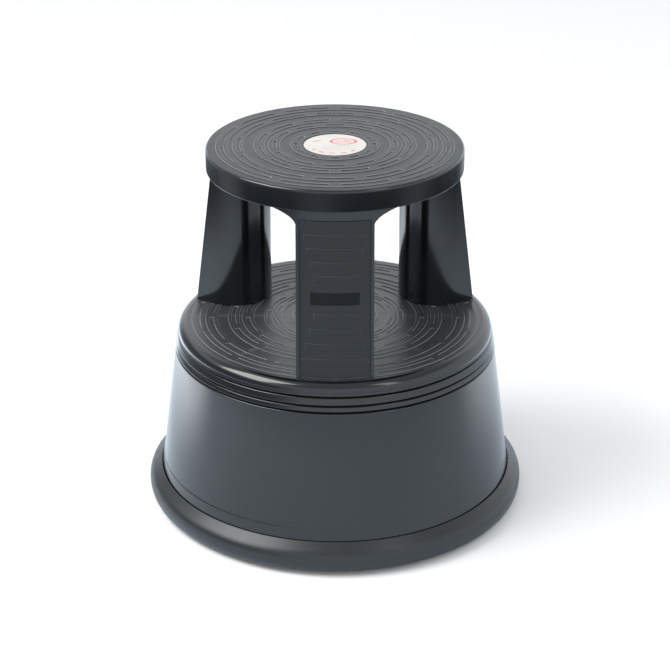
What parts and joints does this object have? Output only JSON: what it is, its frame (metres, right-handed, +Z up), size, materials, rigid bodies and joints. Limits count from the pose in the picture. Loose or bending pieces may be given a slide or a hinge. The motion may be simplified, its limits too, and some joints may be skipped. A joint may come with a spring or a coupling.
{
  "type": "step stool",
  "caption": "Round plastic rolling step stool with an upper and a lower step, hollow legs, a floor ring and sprung castors that give way under a person's weight.",
  "frame": {"origin": "on the floor under the middle of the stool, as it stands on its castors with no load", "axes": "+Z up through the middle of both steps; -Y towards the front leg; +X to the right seen from the front"},
  "size_m": [0.4436, 0.4436, 0.43],
  "materials": {
    "body": "semi-gloss moulded plastic, charcoal with a blue cast",
    "cover": "satin moulded plastic, charcoal",
    "plate": "smooth dark plastic, blank",
    "label": "white vinyl sticker with plain red and grey marks",
    "ring": "satin moulded plastic, charcoal",
    "rubber": "matt black rubber",
    "nylon": "natural nylon",
    "tyre": "hard dark plastic, slightly scuffed",
    "steel": "zinc-plated steel"
  },
  "bodies": {
    "root": {"upper_body": "body", "top_label": "label", "leg_cover_front": "cover", "name_plate_front": "plate", "leg_cover_left": "cover", "name_plate_left": "plate", "leg_cover_right": "cover", "name_plate_right": "plate", "drum": "body", "base_ring": "ring", "foot_ring": "rubber", "leg_screw_front_1": "steel", "leg_screw_front_2": "steel", "leg_screw_left_1": "steel", "leg_screw_left_2": "steel", "leg_screw_right_1": "steel", "leg_screw_right_2": "steel", "ring_screw_1": "steel", "ring_screw_2": "steel", "ring_screw_3": "steel", "ring_screw_4": "steel", "ring_screw_5": "steel", "ring_screw_6": "steel", "castor_housing_front": "steel", "castor_bush_front": "nylon", "housing_screw_front_1": "steel", "housing_screw_front_2": "steel", "castor_housing_left": "steel", "castor_bush_left": "nylon", "housing_screw_left_1": "steel", "housing_screw_left_2": "steel", "castor_housing_right": "steel", "castor_bush_right": "nylon", "housing_screw_right_1": "steel", "housing_screw_right_2": "steel"},
    "castor_plunger_front": {"castor_stem_front": "steel", "castor_clip_front": "steel", "castor_spring_front": "steel"},
    "castor_fork_front": {"castor_fork_front": "steel", "castor_axle_front": "steel"},
    "castor_wheel_front": {"castor_wheel_front": "tyre"},
    "castor_plunger_left": {"castor_stem_left": "steel", "castor_clip_left": "steel", "castor_spring_left": "steel"},
    "castor_fork_left": {"castor_fork_left": "steel", "castor_axle_left": "steel"},
    "castor_wheel_left": {"castor_wheel_left": "tyre"},
    "castor_plunger_right": {"castor_stem_right": "steel", "castor_clip_right": "steel", "castor_spring_right": "steel"},
    "castor_fork_right": {"castor_fork_right": "steel", "castor_axle_right": "steel"},
    "castor_wheel_right": {"castor_wheel_right": "tyre"}
  },
  "joints": [
    {"name": "castor_plunge_front", "type": "slide", "parent": "root", "child": "castor_plunger_front", "axis": [0, 0, 1], "range_m": [0, 0.008], "stiffness_N_per_m": 3000, "springref_m": -0.01, "deforming": ["castor_spring_front"]},
    {"name": "castor_swivel_front", "type": "hinge", "parent": "castor_plunger_front", "child": "castor_fork_front", "pos_m": [0, -0.14828, 0.043], "axis": [0, 0, 1], "continuous": true},
    {"name": "castor_roll_front", "type": "hinge", "parent": "castor_fork_front", "child": "castor_wheel_front", "pos_m": [0, -0.16028, 0.018], "axis": [1, 0, 0], "continuous": true},
    {"name": "castor_plunge_left", "type": "slide", "parent": "root", "child": "castor_plunger_left", "axis": [0, 0, 1], "range_m": [0, 0.008], "stiffness_N_per_m": 3000, "springref_m": -0.01, "deforming": ["castor_spring_left"]},
    {"name": "castor_swivel_left", "type": "hinge", "parent": "castor_plunger_left", "child": "castor_fork_left", "pos_m": [-0.12841, 0.07414, 0.043], "axis": [0, 0, 1], "continuous": true},
    {"name": "castor_roll_left", "type": "hinge", "parent": "castor_fork_left", "child": "castor_wheel_left", "pos_m": [-0.13881, 0.08014, 0.018], "axis": [-0.5, -0.866, 0], "continuous": true},
    {"name": "castor_plunge_right", "type": "slide", "parent": "root", "child": "castor_plunger_right", "axis": [0, 0, 1], "range_m": [0, 0.008], "stiffness_N_per_m": 3000, "springref_m": -0.01, "deforming": ["castor_spring_right"]},
    {"name": "castor_swivel_right", "type": "hinge", "parent": "castor_plunger_right", "child": "castor_fork_right", "pos_m": [0.12841, 0.07414, 0.043], "axis": [0, 0, 1], "continuous": true},
    {"name": "castor_roll_right", "type": "hinge", "parent": "castor_fork_right", "child": "castor_wheel_right", "pos_m": [0.13881, 0.08014, 0.018], "axis": [-0.5, 0.866, 0], "continuous": true}
  ]
}
